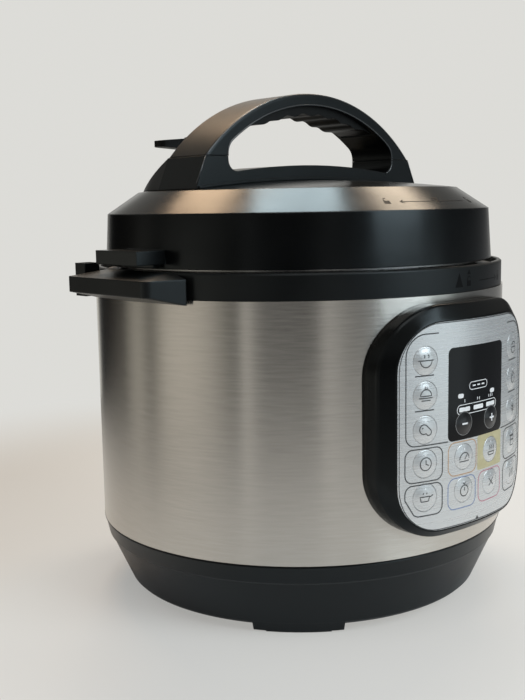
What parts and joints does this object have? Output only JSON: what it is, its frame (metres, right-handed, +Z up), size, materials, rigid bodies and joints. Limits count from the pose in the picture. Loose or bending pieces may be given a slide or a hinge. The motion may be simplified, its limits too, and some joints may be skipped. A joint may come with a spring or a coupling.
{
  "type": "electric pressure cooker",
  "caption": "Round electric pressure cooker with a steel housing, black base and lid, arched lid handle, side handles and a curved keypad panel.",
  "frame": {"origin": "on the cooker's vertical axis, on the surface that the feet stand on", "axes": "+Z up, -Y towards the control panel, X along the lid handle and the side handles"},
  "size_m": [0.269, 0.2638, 0.279],
  "materials": {
    "black_gloss": "glossy",
    "black_plastic": "fine texture",
    "board": "satin",
    "brass": "plain",
    "coil_metal": "matte",
    "components": "satin",
    "cup_plastic": "translucent",
    "flex_circuit": "satin",
    "grip_plastic": "matte",
    "heater_cast": "cast",
    "key_black": "glossy",
    "key_film": "satin",
    "module_black": "matte",
    "overlay_film": "satin",
    "pressed_steel": "satin",
    "rubber_pad": "matte",
    "screw_steel": "zinc",
    "silicone": "translucent matte",
    "steel": "brushed",
    "well_coating": "satin",
    "white_plastic": "matte",
    "window_film": "glossy",
    "wire": "satin"
  },
  "bodies": {
    "cooker": {"steel_housing": "steel", "base_cover": "black_plastic", "foot_pads": "rubber_pad", "upper_ring": "black_plastic", "left_side_handle": "black_plastic", "right_side_handle": "black_plastic", "cooker_well": "well_coating", "spring_plate": "pressed_steel", "heater_plate": "heater_cast", "heater_coil": "coil_metal", "thermal_fuse": "white_plastic", "sensor_bracket": "pressed_steel", "sensor_spring": "screw_steel", "pressure_switch": "white_plastic", "power_board": "board", "power_components": "components", "control_board": "board", "display_module": "module_black", "key_circuit": "flex_circuit", "panel_bezel": "black_plastic", "panel_overlay": "overlay_film", "display_window": "window_film", "inlet_housing": "module_black", "inlet_pins": "brass", "base_screws": "screw_steel", "wiring": "wire"},
    "sensor": {"sensor_cap": "pressed_steel"},
    "collector": {"collector_cup": "cup_plastic"},
    "pot": {"inner_pot": "pressed_steel"},
    "seal": {"sealing_ring": "silicone"},
    "lid": {"lid_cover": "black_gloss", "lid_plate": "pressed_steel", "seal_rack": "screw_steel", "lid_screws": "screw_steel", "handle_base": "black_plastic", "handle_cap": "black_plastic", "handle_grip": "grip_plastic", "release_pipe": "screw_steel", "anti_block_shield": "screw_steel", "lock_spring": "screw_steel"},
    "release": {"release_valve": "grip_plastic"},
    "float": {"float_valve": "screw_steel", "float_cap": "silicone"},
    "lock": {"lock_pin": "screw_steel"},
    "key_left_1": {"key_left_1": "key_film"},
    "key_left_2": {"key_left_2": "key_film"},
    "key_left_3": {"key_left_3": "key_film"},
    "key_left_4": {"key_left_4": "key_film"},
    "key_left_5": {"key_left_5": "key_film"},
    "key_right_1": {"key_right_1": "key_film"},
    "key_right_2": {"key_right_2": "key_film"},
    "key_right_3": {"key_right_3": "key_film"},
    "key_right_4": {"key_right_4": "key_film"},
    "key_right_5": {"key_right_5": "key_film"},
    "key_mid_1": {"key_mid_1": "key_film"},
    "key_mid_2": {"key_mid_2": "key_film"},
    "key_mid_3": {"key_mid_3": "key_film"},
    "key_mid_4": {"key_mid_4": "key_film"},
    "key_minus": {"key_minus": "key_black"},
    "key_plus": {"key_plus": "key_black"}
  },
  "joints": [
    {"name": "pot_lift", "type": "slide", "parent": "cooker", "child": "pot", "axis": [0, 0, 1], "range_m": [0, 0.15]},
    {"name": "lid_lift", "type": "slide", "parent": "pot", "child": "seal", "axis": [0, 0, 1], "range_m": [0, 0.12]},
    {"name": "lid_turn", "type": "hinge", "parent": "seal", "child": "lid", "pos_m": [0, 0, 0.18], "axis": [0, 0, 1], "range_deg": [0, 30]},
    {"name": "release_turn", "type": "hinge", "parent": "lid", "child": "release", "pos_m": [-0.034, 0.044, 0.245], "axis": [0, 0, 1], "range_deg": [0, 40]},
    {"name": "float_rise", "type": "slide", "parent": "lid", "child": "float", "axis": [0, 0, 1], "range_m": [0, 0.0065]},
    {"name": "lock_slide", "type": "slide", "parent": "lid", "child": "lock", "axis": [0.9063, 0.4226, 0], "range_m": [0, 0.003], "stiffness_N_per_m": 300, "deforming": ["lock_spring"]},
    {"name": "sensor_press", "type": "slide", "parent": "cooker", "child": "sensor", "axis": [0, 0, 1], "range_m": [-0.002, 0], "stiffness_N_per_m": 500, "deforming": ["sensor_spring"]},
    {"name": "collector_pull", "type": "slide", "parent": "cooker", "child": "collector", "axis": [0, 1, 0], "range_m": [0, 0.03]},
    {"name": "key_left_1_press", "type": "slide", "parent": "cooker", "child": "key_left_1", "axis": [0.2756, 0.9613, 0], "range_m": [0, 0.0005], "stiffness_N_per_m": 500},
    {"name": "key_left_2_press", "type": "slide", "parent": "cooker", "child": "key_left_2", "axis": [0.2756, 0.9613, 0], "range_m": [0, 0.0005], "stiffness_N_per_m": 500},
    {"name": "key_left_3_press", "type": "slide", "parent": "cooker", "child": "key_left_3", "axis": [0.2756, 0.9613, 0], "range_m": [0, 0.0005], "stiffness_N_per_m": 500},
    {"name": "key_left_4_press", "type": "slide", "parent": "cooker", "child": "key_left_4", "axis": [0.2756, 0.9613, 0], "range_m": [0, 0.0005], "stiffness_N_per_m": 500},
    {"name": "key_left_5_press", "type": "slide", "parent": "cooker", "child": "key_left_5", "axis": [0.2756, 0.9613, 0], "range_m": [0, 0.0005], "stiffness_N_per_m": 500},
    {"name": "key_right_1_press", "type": "slide", "parent": "cooker", "child": "key_right_1", "axis": [-0.2756, 0.9613, 0], "range_m": [0, 0.0005], "stiffness_N_per_m": 500},
    {"name": "key_right_2_press", "type": "slide", "parent": "cooker", "child": "key_right_2", "axis": [-0.2756, 0.9613, 0], "range_m": [0, 0.0005], "stiffness_N_per_m": 500},
    {"name": "key_right_3_press", "type": "slide", "parent": "cooker", "child": "key_right_3", "axis": [-0.2756, 0.9613, 0], "range_m": [0, 0.0005], "stiffness_N_per_m": 500},
    {"name": "key_right_4_press", "type": "slide", "parent": "cooker", "child": "key_right_4", "axis": [-0.2756, 0.9613, 0], "range_m": [0, 0.0005], "stiffness_N_per_m": 500},
    {"name": "key_right_5_press", "type": "slide", "parent": "cooker", "child": "key_right_5", "axis": [-0.2756, 0.9613, 0], "range_m": [0, 0.0005], "stiffness_N_per_m": 500},
    {"name": "key_mid_1_press", "type": "slide", "parent": "cooker", "child": "key_mid_1", "axis": [0.0854, 0.9963, 0], "range_m": [0, 0.0005], "stiffness_N_per_m": 500},
    {"name": "key_mid_2_press", "type": "slide", "parent": "cooker", "child": "key_mid_2", "axis": [-0.0854, 0.9963, 0], "range_m": [0, 0.0005], "stiffness_N_per_m": 500},
    {"name": "key_mid_3_press", "type": "slide", "parent": "cooker", "child": "key_mid_3", "axis": [0.0854, 0.9963, 0], "range_m": [0, 0.0005], "stiffness_N_per_m": 500},
    {"name": "key_mid_4_press", "type": "slide", "parent": "cooker", "child": "key_mid_4", "axis": [-0.0854, 0.9963, 0], "range_m": [0, 0.0005], "stiffness_N_per_m": 500},
    {"name": "key_minus_press", "type": "slide", "parent": "cooker", "child": "key_minus", "axis": [0.0854, 0.9963, 0], "range_m": [0, 0.0005], "stiffness_N_per_m": 500},
    {"name": "key_plus_press", "type": "slide", "parent": "cooker", "child": "key_plus", "axis": [-0.0854, 0.9963, 0], "range_m": [0, 0.0005], "stiffness_N_per_m": 500}
  ]
}
